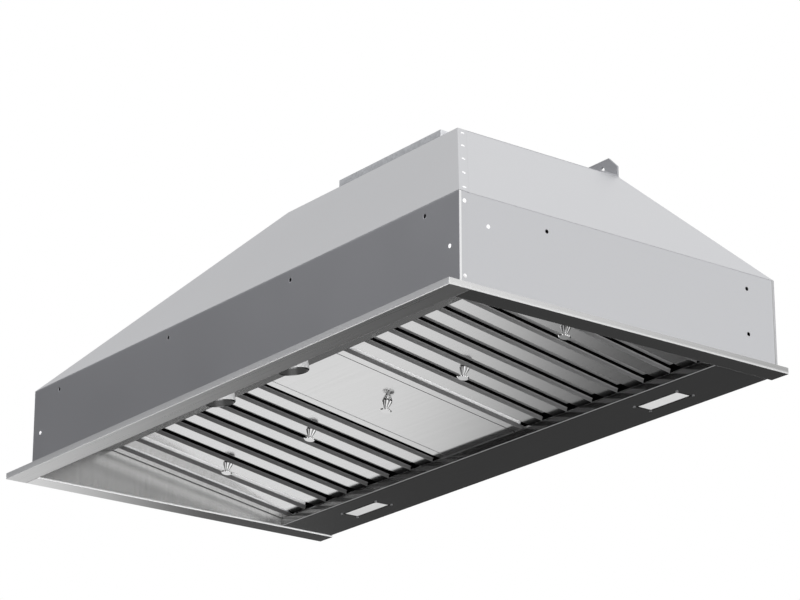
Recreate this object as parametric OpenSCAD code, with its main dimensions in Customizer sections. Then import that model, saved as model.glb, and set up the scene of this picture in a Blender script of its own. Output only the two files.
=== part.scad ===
// Range hood insert (liner) with internal blower, baffle filters, lights and rotary controls.
// Millimetres. X runs left to right, -Y is the control side, +Z is up, and the flange's
// underside lies on z = 0 with the origin under the middle of the whole outline.

/* [Shell] */
// Length of the flange outline, left to right
overall_w = 1178; // [1100:1:1300]
// Depth of the flange outline, front to back
overall_d = 642; // [620:1:680]
// Height of the flange's turned-up lip
lip_h = 10; // [8:0.5:14]
// Height of the vertical band's top edge
band_h = 154; // [130:1:180]
// Height of the top plate
canopy_h = 433; // [425:1:460]
// Length of the top plate, left to right
top_w = 454; // [420:1:520]
// Distance from the duct collar's front to the top plate's front edge
top_front_margin = 38.7; // [24:0.1:64]
// Sheet thickness of the shell
sheet_t = 1; // [0.8:0.1:1.2]
// How far the flange stands out beyond the band at each side
side_inset = 21; // [18:0.5:26]
// Visible width of the front flange
front_flange_w = 38; // [30:0.5:44]
// Visible width of each side flange
side_flange_w = 37; // [34:0.5:42]
// Radius of the rolled hem on the side flanges' inner edges
side_hem_r = 1.6; // [1.2:0.1:2]
// Width of the front sheets' tabs, folded back over the side sheets
tab_w = 15; // [12:0.5:20]
// Height of the inner side walls
liner_h = 96; // [94:1:110]

/* [Mounting holes and fasteners] */
// Radius of the screw holes in the bands
band_hole_r = 3.1; // [2.4:0.1:3.8]
// Distance from each end of the front band to its outer hole
front_hole_inset = 78; // [58:1:128]
// Distance from the middle to each inner hole in the front band
front_hole_inner_x = 164.5; // [120:0.5:200]
// Drop from the front band's top edge to its holes
band_hole_drop = 16.4; // [9:0.2:34]
// Distance from the front band to the forward hole in each side band
side_hole_front_inset = 159.5; // [125:0.5:195]
// Distance from the rear outline to the rear pair of holes in each side band
side_hole_rear_inset = 57; // [41:1:91]
// Drop from the side bands' top edge to their upper holes
side_hole_drop = 25.4; // [14:0.2:44]
// Height of the lower hole in each side band
side_hole_low_z = 57; // [40:1:80]
// Radius of a rivet head
rivet_r = 3.2; // [2.4:0.1:4]
// Height of a rivet head
rivet_h = 1.3; // [0.8:0.1:2]

/* [Rear light panel] */
// Depth of the rear light panel, from the rear outline to its lip
rear_panel_d = 112; // [100:1:125]
// Height of the rear light panel's sheet above the flange's underside
rear_panel_z = 1.5; // [1:0.1:3]
// Gap between the rear light panel's edge and the rear outline
rear_panel_gap = 5.7; // [4:0.1:8]
// Height of the lip's top
panel_lip_z = 15; // [13:0.5:18]
// Radius of the lip's rolled edge, on which the filters turn
panel_hem_r = 1.5; // [1.2:0.1:2]
// Length of a light's diffuser
lens_w = 87; // [70:1:110]
// Width of a light's diffuser
lens_d = 25.5; // [20:0.5:30]
// Distance from each inner side wall to its light's centre
lens_side_inset = 175; // [132:1:212]
// Distance from the rear outline to the lights' centres
lens_rear_inset = 56.6; // [49:0.2:63]

/* [Filters] */
// Slope of the filters, down towards the rear
filter_tilt = 9.5; // [8:0.25:11]
// How far the filters run on behind the turning line
filter_tail = 12; // [8:0.5:16]
// Thickness of a filter
filter_t = 16; // [14:0.5:18]
// Half width of the centre panel
centre_half_w = 84.5; // [75:0.5:95]
// Gap between the centre panel and each filter
centre_gap = 1.5; // [1:0.1:4]
// Gap between each filter and the inner side wall
wall_gap = 2.5; // [1.5:0.1:5]
// Sheet thickness of the filters
baffle_t = 0.8; // [0.6:0.1:1]
// Number of face baffles in a filter
baffle_n = 7; // [5:1:7]
// Gap between a side rail and the face baffle next to it
end_gap_w = 22.55; // [14:0.05:30]
// Width of a face baffle
baffle_w = 30; // [26:0.5:32]
// Height of a face baffle's sides
baffle_side_h = 6.9; // [6:0.1:9]
// Width of a filter's side rail
rail_w = 16; // [14:0.5:18]
// How far the pulls stand to the right of their baffle's centre line
pull_shift = 9.5; // [0:0.5:10]

/* [Control panel and knobs] */
// Depth of the control panel in plan
control_depth = 136.98; // [128:0.02:150]
// Height of the control panel's front edge
control_front_z = 51.2; // [45:0.2:56]
// Clearance from the control panel's rear edge to the filters
control_gap = 5.4; // [5:0.1:8]
// Drop from the filters' underside to the control panel's rear edge
control_drop = 3.7; // [2:0.1:6]
// X of the fan knob
fan_knob_x = 97.5; // [60:0.5:160]
// X of the light knob
light_knob_x = -97.5; // [-160:0.5:-60]
// Distance of the knobs from the front wall, in plan
knob_setback = 49; // [40:0.5:75]
// Radius of a control knob
knob_r = 24; // [20:0.5:28]
// Height of a control knob
knob_h = 35; // [20:0.5:38]

/* [Duct collar and hanging brackets] */
// How far the square duct collar stands out beyond its round bore
collar_lap = 8; // [4:0.5:12]
// Distance from the rear outline to the duct collar
collar_rear_gap = 25.3; // [14:0.1:40]
// Height of the duct collar
collar_h = 38; // [34:1:44]
// Radius of the bore that takes the round duct
duct_r = 127.5; // [125:0.5:129]
// Depth of the bore that takes the round duct
duct_len = 16; // [12:1:20]
// Height of a hanging bracket above the top plate
bracket_h = 39; // [36:1:50]
// Thickness of a hanging bracket
bracket_t = 3.3; // [2.5:0.1:4]
// Chamfer on the hanging brackets' upper corners
bracket_chamfer = 20; // [10:1:22]
// Radius of the bolt hole in a hanging bracket
bracket_hole_r = 5.5; // [4:0.1:7]
// Distance from a hanging bracket's outer edge to its bolt hole
bracket_hole_inset = 36; // [26:1:50]
// Radius of the supply cable's entry in the top plate
entry_r = 11; // [9:0.5:14]

/* [Blower] */
// Radius of the blower wheel
wheel_r = 95; // [85:1:98]
// Length of the blower wheel
wheel_w = 170; // [150:1:176]
// Number of blades on the blower wheel
blade_n = 30; // [20:1:36]
// Drop from the top plate to the blower wheel's axis
wheel_drop = 148; // [141:1:155]
// Clearance from the blower wheel to the housing's sides
wheel_side_gap = 15; // [10:0.5:18]
// Depth of the blower's outlet, front to back
outlet_d = 120; // [110:1:126]
// Clearance from the wheel to the housing where its spiral ends
scroll_end_gap = 55; // [45:1:60]
// Clearance from the wheel to the housing where its spiral starts
scroll_start_gap = 17; // [13:1:23]
// How far the housing's inlets are smaller in radius than the wheel
inlet_lap = 15; // [11:1:19]
// Radius of the motor
motor_r = 50; // [40:1:60]
// Radius of the wheel's shaft
shaft_r = 6; // [5:0.5:8]

/* [Hidden] */
$fn = 64;

// Overrun of every cutting solid past the face that it cuts
cut = 1;

// Shell: main lines
half_w = overall_w / 2;
half_d = overall_d / 2;
front_inset = front_flange_w - 2 * sheet_t;
band_x = half_w - side_inset;
band_front_y = front_inset - half_d;
inner_x = half_w - side_flange_w;
inner_front_y = front_flange_w - half_d;
rear_in_y = half_d - sheet_t;
top_x = top_w / 2;
collar_w = 2 * (duct_r + collar_lap);
top_front_y = half_d - collar_rear_gap - collar_w - top_front_margin;
shell_top_z = canopy_h - sheet_t;
// Share of the canopy's rise at which its sheets stop, under the top plate
rise_share = (shell_top_z - band_h) / (canopy_h - band_h);
front_slope = atan2(canopy_h - band_h, top_front_y - band_front_y);
side_slope = atan2(canopy_h - band_h, band_x - top_x);
// The bands stop where the canopy's sheets, square to their slope, begin
front_band_top = band_h - sheet_t * cos(front_slope);
side_band_top = band_h - sheet_t * cos(side_slope);
front_len = norm([canopy_h - band_h, top_front_y - band_front_y]) * rise_share;
side_len = norm([canopy_h - band_h, band_x - top_x]) * rise_share;
// The canopy's outline where its sheets stop
stop_x = band_x + (top_x - band_x) * rise_share;
stop_front_y = band_front_y + (top_front_y - band_front_y) * rise_share;
canopy_tab_t = sheet_t * sin(side_slope);
edge_lean = atan2(stop_front_y - band_front_y, side_len);
tab_dy = tab_w / cos(edge_lean);

// Rivets
rivet_inset = 8.2;
canopy_rivet_n = 5;
canopy_rivet_end = 31;
band_rivet_inset = 22;
band_rivet_z = 76.2;
tab_rivet_share = 0.63;
tab_rivet_y = band_front_y + tab_w * tab_rivet_share;
tab_rivet_low_z = 27.5;
tab_rivet_drop = 14.8;
tab_rivet_zs = [tab_rivet_low_z, band_h - tab_rivet_drop];
side_rivet_inset = 52.3;
side_rivet_drop = 43.4;
side_rivet_y = band_front_y + side_rivet_inset;
side_rivet_z = band_h - side_rivet_drop;

// Band holes
front_hole_outer_x = band_x - front_hole_inset;
band_hole_z = band_h - band_hole_drop;
side_hole_front_y = band_front_y + side_hole_front_inset;
side_hole_rear_y = half_d - side_hole_rear_inset;
side_hole_z = band_h - side_hole_drop;

// Rear light panel
panel_face_y = half_d - rear_panel_d;
panel_rear_y = half_d - rear_panel_gap;
panel_x = inner_x - 0.4 * sheet_t;
panel_top_z = rear_panel_z + sheet_t;
panel_foot_z = 5;
panel_leg_z = 22;
lens_x = inner_x - lens_side_inset;
lens_y = half_d - lens_rear_inset;
lens_gap = 0.3;
lens_t = 3;
light_wall = 1.2;
light_housing_w = lens_w + 24;
light_housing_d = lens_d + 10.5;
light_housing_h = 28;
light_screw_out_x = 4.7;
light_screw_out_y = 3.95;
light_screw_dx = lens_w / 2 + light_screw_out_x;
light_screw_dy = lens_d / 2 + light_screw_out_y;
light_screw_r = 2;
light_screw_h = 1.1;
board_t = 1.6;
board_w = lens_w - 7;
board_d = lens_d - 6;
led_n = 6;
led_side = 5;
led_h = 1.2;
trough_front_y = panel_face_y + 3.2;
trough_rear_y = lens_y - light_housing_d / 2 - 0.4;
trough_front_drop = 5.5;
trough_rear_drop = 1;
trough_front_h = panel_lip_z - trough_front_drop - panel_top_z;
trough_rear_h = panel_lip_z - trough_rear_drop - panel_top_z;

// Filters: the turning line, and the plane of their underside
pivot_y = panel_face_y + panel_hem_r;
pivot_z = panel_lip_z - panel_hem_r;
pivot_gap = 0.36;
filter_reach = (pivot_y - inner_front_y - control_depth - control_gap) / cos(filter_tilt);
face_w = panel_hem_r + pivot_gap;
filter_w = inner_x - wall_gap - centre_half_w - centre_gap;
filter_x = centre_half_w + centre_gap + filter_w / 2;
tail_start = 1.3;
rail_top_w = 12;
rail_side_h = 7;
hem_out = 1.5;
back_overlap = 3.3;
back_side_h = 6.5;
front_rail_l = 8;
front_rail_h = 7;
hook_gap = 0.3;
hook_t = 1.2;
hook_w = 14;
hook_inset = 60;
hook_angle = 135;
baffle_pitch = (filter_w - 2 * rail_w - 2 * end_gap_w - baffle_w) / (baffle_n - 1);
// The pulls sit on the second baffle from each end
pull_step = (baffle_n - 3) / 2;

// Pulls: a cone hanging from its wide end, a neck and a flared disc
pull_r = 8.2;
pull_seat_r = 5.4;
pull_shoulder_h = 1.4;
pull_neck_r = 3.1;
pull_cone_h = 13;
pull_disc_r = 9.5;
pull_disc_h = 2.6;
pull_h = 18;
pull_reach = 203;
centre_pull_reach = 198;
centre_pull_shift = 7.7;

// Control panel
control_rear_y = inner_front_y + control_depth;
control_rear_z = pivot_z + filter_reach * sin(filter_tilt) + face_w * cos(filter_tilt)
    - control_drop;
control_tilt = atan2(control_rear_z - control_front_z, control_depth);
control_leg_h = 16;
control_foot_h = 10;
knob_dist = knob_setback / cos(control_tilt);
knob_edge = 1.5;
knob_draft = 0.8;
knob_face_step = 0.6;
knob_gap = 0.8;
knob_shaft_r = 3;
shaft_clear = 0.05;
knob_shaft_in = 18;
switch_r = 19;
switch_h = 26;
switch_neck_r = 5;
switch_neck_h = knob_gap;
switch_shaft_in = 20;
catch_w = 12;
catch_h = 9;
catch_clear = 0.4;
catch_foot_t = 1.2;

// Duct collar and damper
collar_y = half_d - collar_rear_gap - collar_w / 2;
collar_top = canopy_h + collar_h;
sleeve_r = duct_r - 4.5;
sleeve_top = collar_top - duct_len;
damper_z = canopy_h + 10;
damper_pin_r = 2;
damper_pin_dy = 4.5;
damper_r = sleeve_r - 2;
damper_t = 0.8;
knuckle_r = 3.2;
knuckle_end_gap = 6;
knuckle_half = damper_r - knuckle_end_gap;
pin_clear = 0.05;
seat_w = 5;
seat_t = 1;
seat_gap = 0.2;

// Hanging brackets
bracket_x = top_x - sheet_t;
bracket_collar_gap = 0.5;
bracket_w = bracket_x - collar_w / 2 - bracket_collar_gap;
bracket_hole_x = bracket_x - bracket_hole_inset;
bracket_foot_d = 34;
bracket_hole_drop = 16.5;
bracket_hole_z = canopy_h + bracket_h - bracket_hole_drop;
entry_inset_x = 37;
entry_inset_y = 54;
entry_x = top_x - entry_inset_x;
entry_y = top_front_y + entry_inset_y;
screw_r = 4.2;
screw_h = 2.4;

// Blower
wheel_z = canopy_h - wheel_drop;
housing_w = wheel_w + 2 * wheel_side_gap;
scroll_end_r = wheel_r + scroll_end_gap;
scroll_start_r = wheel_r + scroll_start_gap;
inlet_r = wheel_r - inlet_lap;
outlet_front_y = collar_y - outlet_d / 2;
wheel_y = collar_y + outlet_d / 2 - scroll_end_r;
scroll_start_a = acos((outlet_front_y - wheel_y) / scroll_start_r);
scroll_steps = 38;
housing_half = housing_w / 2;
outlet_flange_w = collar_w / 2 + 2 * (screw_r + sheet_t) - housing_half;
outlet_screw_inset = 14;
ring_w = 12;
ring_h = 6;
ring_seat = 8;
blade_t = 1;
blade_depth = 17;
blade_lean = 32;
wheel_ring_w = 5;
wheel_ring_t = 1.6;
wheel_disc_t = 2;
hub_r = 16;
hub_l = 34;
motor_face_x = -hub_l / 2 - 2;
motor_len = housing_half + ring_h + motor_face_x;
motor_nose_r = 22;
motor_nose_l = 1.5;
shaft_in = 45;
shaft_out = 30;
spider_t = 3;
spider_hub_r = 34;
spider_arm_w = 14;
spider_arm_n = 3;

// Electrical boxes
box_w = 120;
box_d = 50;
box_h = 70;
box_inset = 268;
box_rise = 21;
box_x = band_x - box_inset;
box_z = band_h + box_rise;
box_wall = 1.2;
box_lid_t = 1.2;
box_lid_lap = 4;
knockout_r = 11;
driver_w = 140;
driver_d = 30;
driver_h = 28;
driver_ear = 10;
driver_ear_t = 1.5;
capacitor_r = 20;
capacitor_h = 62;
capacitor_rise = 31;
capacitor_x = -box_x;
capacitor_z = band_h + capacitor_rise;
capacitor_strap_t = 1.5;
capacitor_strap_h = 12;
terminal_r = 3;
terminal_h = 5;

// A block between two values on each axis
module slab(xs, ys, zs) {
    translate([xs[0], ys[0], zs[0]])
        cube([xs[1] - xs[0], ys[1] - ys[0], zs[1] - zs[0]]);
}

// A round bar along X, centred on x = 0
module x_bar(r, l) {
    rotate([0, 90, 0]) cylinder(r = r, h = l, center = true);
}

// An outline in Y and Z, extruded along X about x = 0
module along_x(l) {
    rotate([90, 0, 90]) linear_extrude(l, center = true) children();
}

// Puts a right-hand piece on the left
module on_left() {
    mirror([1, 0, 0]) children();
}

// The filters' own frame: its origin on the turning line, -Y up the slope, Z square to it
module at_filter() {
    translate([0, pivot_y, pivot_z]) rotate([-filter_tilt, 0, 0]) children();
}

// The control panel's own frame: its origin on the underside's front edge, +Y up the slope
module at_control() {
    translate([0, inner_front_y, control_front_z]) rotate([control_tilt, 0, 0]) children();
}

// The canopy's right-hand sheet: its origin on the lower edge, +X up the slope, +Z inwards
module at_side_slope(x) {
    translate([x, 0, band_h]) rotate([0, side_slope - 180, 0]) children();
}

// The canopy's front sheet: its origin on the lower edge, +Y up the slope, +Z outwards
module at_front_slope() {
    translate([0, band_front_y, band_h]) rotate([front_slope, 0, 0]) children();
}

// Shell

module front_band() {
    color("#77787b") difference() {
        union() {
            slab([-band_x, band_x], [band_front_y, band_front_y + sheet_t],
                [sheet_t, front_band_top]);
            for (x = [-band_x, band_x - sheet_t])
                slab([x, x + sheet_t], [band_front_y, band_front_y + tab_w],
                    [sheet_t, front_band_top]);
        }
        for (x = [-front_hole_outer_x, -front_hole_inner_x, front_hole_inner_x,
                front_hole_outer_x])
            translate([x, band_front_y - cut, band_hole_z]) rotate([-90, 0, 0])
                cylinder(r = band_hole_r, h = sheet_t + 2 * cut);
    }
}

module side_band() {
    color("#c8c9cb") difference() {
        slab([band_x - 2 * sheet_t, band_x - sheet_t], [band_front_y + sheet_t, rear_in_y],
            [sheet_t, side_band_top]);
        for (hole = [[side_hole_front_y, side_hole_z], [side_hole_rear_y, side_hole_z],
                [side_hole_rear_y, side_hole_low_z]])
            translate([band_x - 2 * sheet_t - cut, hole[0], hole[1]]) rotate([0, 90, 0])
                cylinder(r = band_hole_r, h = sheet_t + 2 * cut);
    }
}

module canopy_front() {
    color("#b7b8bb") {
        at_front_slope() translate([0, 0, -sheet_t]) linear_extrude(sheet_t)
            polygon([[-band_x, 0], [band_x, 0], [stop_x, front_len], [-stop_x, front_len]]);
        canopy_tab();
        on_left() canopy_tab();
    }
}

// The front sheet's tab, folded back over the right-hand sheet
module canopy_tab() {
    at_side_slope(band_x) linear_extrude(canopy_tab_t)
        polygon([[0, band_front_y], [0, band_front_y + tab_dy],
            [side_len, stop_front_y + tab_dy], [side_len, stop_front_y]]);
}

module canopy_side() {
    front_dy = sheet_t / sin(front_slope);
    color("#cfd0d2") at_side_slope(band_x - sheet_t) linear_extrude(sheet_t)
        polygon([[0, band_front_y + front_dy], [0, rear_in_y], [side_len, rear_in_y],
            [side_len, stop_front_y + front_dy]]);
}

module rear_wall() {
    color("#a9abae") translate([0, half_d, 0]) rotate([90, 0, 0]) linear_extrude(sheet_t)
        polygon([[-band_x + sheet_t, lip_h], [band_x - sheet_t, lip_h],
            [band_x - sheet_t, band_h], [stop_x - sheet_t, shell_top_z],
            [-stop_x + sheet_t, shell_top_z], [-band_x + sheet_t, band_h]]);
}

module top_plate() {
    color("#b2b4b7") difference() {
        slab([-top_x, top_x], [top_front_y, half_d], [shell_top_z, canopy_h]);
        translate([0, collar_y, shell_top_z - cut])
            cylinder(r = sleeve_r, h = sheet_t + 2 * cut);
        translate([entry_x, entry_y, shell_top_z - cut])
            cylinder(r = entry_r, h = sheet_t + 2 * cut);
    }
}

module front_flange() {
    color("#9a9b9d") {
        slab([-half_w, half_w], [-half_d, inner_front_y], [0, sheet_t]);
        slab([-half_w, half_w], [-half_d, -half_d + sheet_t], [0, lip_h]);
        slab([-half_w, half_w], [-half_d, band_front_y], [lip_h - sheet_t, lip_h]);
        slab([-inner_x, inner_x], [inner_front_y - sheet_t, inner_front_y],
            [0, control_front_z]);
        for (x = [-half_w, band_x])
            slab([x, x + side_inset], [band_front_y, inner_front_y], [lip_h - sheet_t, lip_h]);
        for (x = [-half_w, half_w - sheet_t])
            slab([x, x + sheet_t], [-half_d, inner_front_y], [0, lip_h]);
    }
}

module side_flange() {
    run = half_d - inner_front_y;
    color("#8c8d8f") {
        slab([inner_x + side_hem_r, half_w], [inner_front_y, half_d], [0, sheet_t]);
        translate([inner_x + side_hem_r, inner_front_y, side_hem_r]) rotate([-90, 0, 0])
            cylinder(r = side_hem_r, h = run);
        slab([half_w - sheet_t, half_w], [inner_front_y, half_d], [0, lip_h]);
        slab([band_x, half_w], [inner_front_y, half_d], [lip_h - sheet_t, lip_h]);
        slab([inner_x + side_hem_r, half_w], [rear_in_y, half_d], [0, lip_h]);
    }
}

module side_liner_wall() {
    color("#a6a6a6") {
        slab([inner_x, inner_x + sheet_t], [inner_front_y, rear_in_y],
            [2 * side_hem_r, liner_h]);
        slab([inner_x, band_x - 2 * sheet_t], [inner_front_y, rear_in_y],
            [liner_h - sheet_t, liner_h]);
    }
}

// Rear light panel, trough and lights

module rear_light_panel() {
    color("#454546") difference() {
        along_x(2 * panel_x) union() {
            translate([panel_face_y + sheet_t, rear_panel_z])
                square([panel_rear_y - panel_face_y - sheet_t, sheet_t]);
            // the bend between sheet and lip
            translate([panel_face_y + sheet_t, rear_panel_z + sheet_t]) intersection() {
                circle(r = sheet_t);
                translate([-sheet_t, -sheet_t]) square(sheet_t);
            }
            translate([panel_face_y, panel_top_z])
                square([sheet_t, panel_lip_z - panel_hem_r - panel_top_z]);
            translate([pivot_y, pivot_z]) circle(r = panel_hem_r);
            // the joggled rear leg, against the rear wall
            translate([panel_rear_y - sheet_t, rear_panel_z])
                square([sheet_t, panel_foot_z - rear_panel_z]);
            translate([panel_rear_y - sheet_t, panel_foot_z - sheet_t])
                square([rear_in_y - panel_rear_y + sheet_t, sheet_t]);
            translate([rear_in_y - sheet_t, panel_foot_z - sheet_t])
                square([sheet_t, panel_leg_z - panel_foot_z + sheet_t]);
        }
        for (x = [-lens_x, lens_x])
            slab([x - lens_w / 2 - lens_gap, x + lens_w / 2 + lens_gap],
                [lens_y - lens_d / 2 - lens_gap, lens_y + lens_d / 2 + lens_gap],
                [rear_panel_z - cut, panel_top_z + cut]);
    }
}

module grease_trough() {
    color("#6a6b6c") {
        slab([-panel_x, panel_x], [trough_front_y, trough_rear_y],
            [panel_top_z, panel_top_z + baffle_t]);
        slab([-panel_x, panel_x], [trough_front_y, trough_front_y + baffle_t],
            [panel_top_z, panel_top_z + trough_front_h]);
        slab([-panel_x, panel_x], [trough_rear_y - baffle_t, trough_rear_y],
            [panel_top_z, panel_top_z + trough_rear_h]);
        for (x = [-panel_x, panel_x - baffle_t])
            slab([x, x + baffle_t], [trough_front_y, trough_rear_y],
                [panel_top_z, panel_top_z + trough_front_h]);
    }
}

module light_lens() {
    color("#f2f2ee") slab([lens_x - lens_w / 2, lens_x + lens_w / 2],
        [lens_y - lens_d / 2, lens_y + lens_d / 2], [rear_panel_z, rear_panel_z + lens_t]);
}

module light_housing() {
    x0 = lens_x - light_housing_w / 2;
    y0 = lens_y - light_housing_d / 2;
    color("#8f9194") difference() {
        slab([x0, x0 + light_housing_w], [y0, y0 + light_housing_d],
            [panel_top_z, panel_top_z + light_housing_h]);
        slab([lens_x - lens_w / 2, lens_x + lens_w / 2],
            [lens_y - lens_d / 2, lens_y + lens_d / 2],
            [panel_top_z - cut, panel_top_z + light_housing_h - light_wall]);
    }
}

module led_board() {
    top = panel_top_z + light_housing_h - light_wall;
    step = board_w / led_n;
    color("#e6e4d2") {
        slab([lens_x - board_w / 2, lens_x + board_w / 2],
            [lens_y - board_d / 2, lens_y + board_d / 2], [top - board_t, top]);
        for (i = [0 : led_n - 1])
            slab([lens_x - board_w / 2 + (i + 0.5) * step - led_side / 2,
                    lens_x - board_w / 2 + (i + 0.5) * step + led_side / 2],
                [lens_y - led_side / 2, lens_y + led_side / 2],
                [top - board_t - led_h, top - board_t]);
    }
}

module light_screws() {
    color("#dcdcdc") for (x = [-lens_x, lens_x], dx = [-light_screw_dx, light_screw_dx],
            dy = [-light_screw_dy, light_screw_dy])
        translate([x + dx, lens_y + dy, rear_panel_z - light_screw_h])
            cylinder(r = light_screw_r, h = light_screw_h);
}

module led_driver() {
    rear_y = rear_in_y - sheet_t;
    color("#d5d6d8") {
        slab([-driver_w / 2, driver_w / 2], [rear_y - driver_d, rear_y],
            [panel_foot_z, panel_foot_z + driver_h]);
        slab([-driver_w / 2 - driver_ear, driver_w / 2 + driver_ear],
            [rear_y - driver_ear_t, rear_y], [panel_foot_z, panel_foot_z + driver_h / 2]);
    }
}

// Control panel

module control_panel() {
    color("#646566") difference() {
        along_x(2 * panel_x) polygon(control_outline());
        for (x = [fan_knob_x, light_knob_x]) at_control() translate([x, knob_dist, -cut])
            cylinder(r = switch_neck_r, h = sheet_t + 2 * cut);
    }
}

// The panel's bent sheet in Y and Z: its foot, its slope and its rear leg
function control_outline() = let (rise = sheet_t * tan(control_tilt),
        over = sheet_t / cos(control_tilt)) [
    [inner_front_y, control_front_z - control_foot_h],
    [inner_front_y + sheet_t, control_front_z - control_foot_h],
    [inner_front_y + sheet_t, control_front_z + rise],
    [control_rear_y, control_rear_z],
    [control_rear_y, control_rear_z + control_leg_h],
    [control_rear_y - sheet_t, control_rear_z + control_leg_h],
    [control_rear_y - sheet_t, control_rear_z + over - rise],
    [inner_front_y, control_front_z + over]];

// Spring clips on the control panel's rear leg, which grip the front edges of what swings
module filter_catches() {
    z0 = control_rear_z + control_leg_h - catch_h;
    corner_r = norm([filter_reach, face_w + filter_t]) + catch_clear;
    reach_y = pivot_y - sqrt(corner_r * corner_r - pow(z0 - pivot_z, 2));
    color("#8a8c8f") for (x = [-filter_x - filter_w / 4, -filter_x + filter_w / 4, 0,
            filter_x - filter_w / 4, filter_x + filter_w / 4])
        translate([x, 0, 0]) {
            slab([-catch_w / 2, catch_w / 2], [control_rear_y, control_rear_y + catch_foot_t],
                [z0, z0 + catch_h]);
            slab([-catch_w / 2, catch_w / 2], [control_rear_y, reach_y],
                [z0, z0 + catch_foot_t]);
        }
}

module knob_at(x) {
    at_control() translate([x, knob_dist, -knob_gap]) mirror([0, 0, 1]) children();
}

// A control knob: its base towards the panel, its flat face down
module knob() {
    difference() {
        rotate_extrude() polygon([[0, 0], [knob_r - knob_draft, 0], [knob_r, knob_h - knob_edge],
            [knob_r - knob_edge, knob_h], [knob_r - 2 * knob_edge, knob_h],
            [knob_r - 2 * knob_edge - knob_face_step, knob_h - knob_face_step],
            [0, knob_h - knob_face_step]]);
        translate([0, 0, -cut]) cylinder(r = knob_shaft_r, h = knob_shaft_in + cut);
    }
}

module fan_knob() {
    color("#c9cacb") knob_at(fan_knob_x) knob();
}

module light_knob() {
    color("#c9cacb") knob_at(light_knob_x) knob();
}

module knob_shaft(x) {
    color("#d8b24a") knob_at(x) translate([0, 0, -knob_gap - sheet_t - switch_shaft_in])
        cylinder(r = knob_shaft_r, h = knob_gap + sheet_t + switch_shaft_in + knob_shaft_in);
}

// A rotary switch on the control panel's back, with its neck through the panel
module rotary_switch(x) {
    color("#2d2e30") at_control() translate([x, knob_dist, 0]) difference() {
        union() {
            translate([0, 0, sheet_t]) cylinder(r = switch_r, h = switch_h);
            cylinder(r = switch_neck_r, h = sheet_t);
        }
        translate([0, 0, -cut])
            cylinder(r = knob_shaft_r + shaft_clear, h = sheet_t + switch_shaft_in + 2 * cut);
    }
}

// Filters: each piece is drawn about the filter's own centre line

module filter_frame(x) {
    w0 = -filter_w / 2;
    top = face_w + filter_t;
    color("#b9babc") at_filter() translate([x, 0, 0]) {
        for (side = [0, 1]) mirror([side, 0, 0]) {
            slab([w0, w0 + rail_w], [-filter_reach, filter_tail], [face_w, face_w + baffle_t]);
            slab([w0, w0 + baffle_t], [-filter_reach, filter_tail], [face_w, top]);
            slab([w0, w0 + rail_top_w], [-filter_reach, filter_tail], [top - baffle_t, top]);
            slab([w0 + rail_w - baffle_t, w0 + rail_w], [-filter_reach, filter_tail],
                [face_w, face_w + rail_side_h]);
        }
        tail_rail(filter_w);
        // the front rail, over the face baffles' ends
        slab([w0, -w0], [-filter_reach, -filter_reach + baffle_t],
            [top - front_rail_h, top]);
        slab([w0, -w0], [-filter_reach, -filter_reach + front_rail_l], [top - baffle_t, top]);
        slab([w0, -w0], [-filter_reach, -filter_reach + front_rail_l],
            [top - front_rail_h, top - front_rail_h + baffle_t]);
        for (hx = [w0 + hook_inset, -w0 - hook_inset]) translate([hx, 0, 0]) hook();
    }
}

// The rear rail of a filter or of the centre panel, as a channel that is open to the front
module tail_rail(w) {
    top = face_w + filter_t;
    slab([-w / 2, w / 2], [-tail_start, filter_tail], [face_w, face_w + baffle_t]);
    slab([-w / 2, w / 2], [filter_tail - baffle_t, filter_tail], [face_w, top]);
    slab([-w / 2, w / 2], [-tail_start, filter_tail], [top - baffle_t, top]);
}

// A hook that wraps the panel's rolled lip from above and behind
module hook() {
    inner = panel_hem_r + hook_gap;
    along_x(hook_w) rotate(filter_tilt + 90 - hook_angle) intersection() {
        difference() {
            circle(r = inner + hook_t);
            circle(r = inner);
        }
        // the wrapped part, as a wedge of twice the ring's size
        polygon([[0, 0], for (a = [0 : hook_angle / 3 : hook_angle])
            2 * (inner + hook_t) * [cos(a), sin(a)]]);
    }
}

module face_baffles(x) {
    color("#d2d3d4") at_filter() translate([x, 0, 0])
        for (i = [0 : baffle_n - 1])
            translate([(i - (baffle_n - 1) / 2) * baffle_pitch, 0, 0]) face_baffle();
}

// One face baffle: a channel that is open upwards, with hemmed sides
module face_baffle() {
    ys = [-filter_reach, -tail_start];
    slab([-baffle_w / 2, baffle_w / 2], ys, [face_w, face_w + baffle_t]);
    for (side = [0, 1]) mirror([side, 0, 0]) {
        slab([baffle_w / 2 - baffle_t, baffle_w / 2], ys, [face_w, face_w + baffle_side_h]);
        slab([baffle_w / 2 - baffle_t, baffle_w / 2 + hem_out], ys,
            [face_w + baffle_side_h - baffle_t, face_w + baffle_side_h]);
    }
}

module back_baffles(x) {
    gap_w = baffle_pitch - baffle_w;
    end_x = filter_w / 2 - rail_w - end_gap_w / 2;
    color("#8b8c8e") at_filter() translate([x, 0, 0]) {
        for (i = [0 : baffle_n - 2])
            translate([(i - (baffle_n - 2) / 2) * baffle_pitch, 0, 0])
                back_baffle(gap_w + 2 * back_overlap);
        for (side = [-1, 1]) translate([side * end_x, 0, 0])
            back_baffle(end_gap_w + 2 * back_overlap);
    }
}

// One back baffle: a channel that is open downwards, over the gap between two face baffles
module back_baffle(w) {
    ys = [-filter_reach + front_rail_l, -tail_start];
    top = face_w + filter_t - baffle_t;
    slab([-w / 2, w / 2], ys, [top - baffle_t, top]);
    for (side = [0, 1]) mirror([side, 0, 0])
        slab([w / 2 - baffle_t, w / 2], ys, [top - back_side_h, top]);
}

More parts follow.
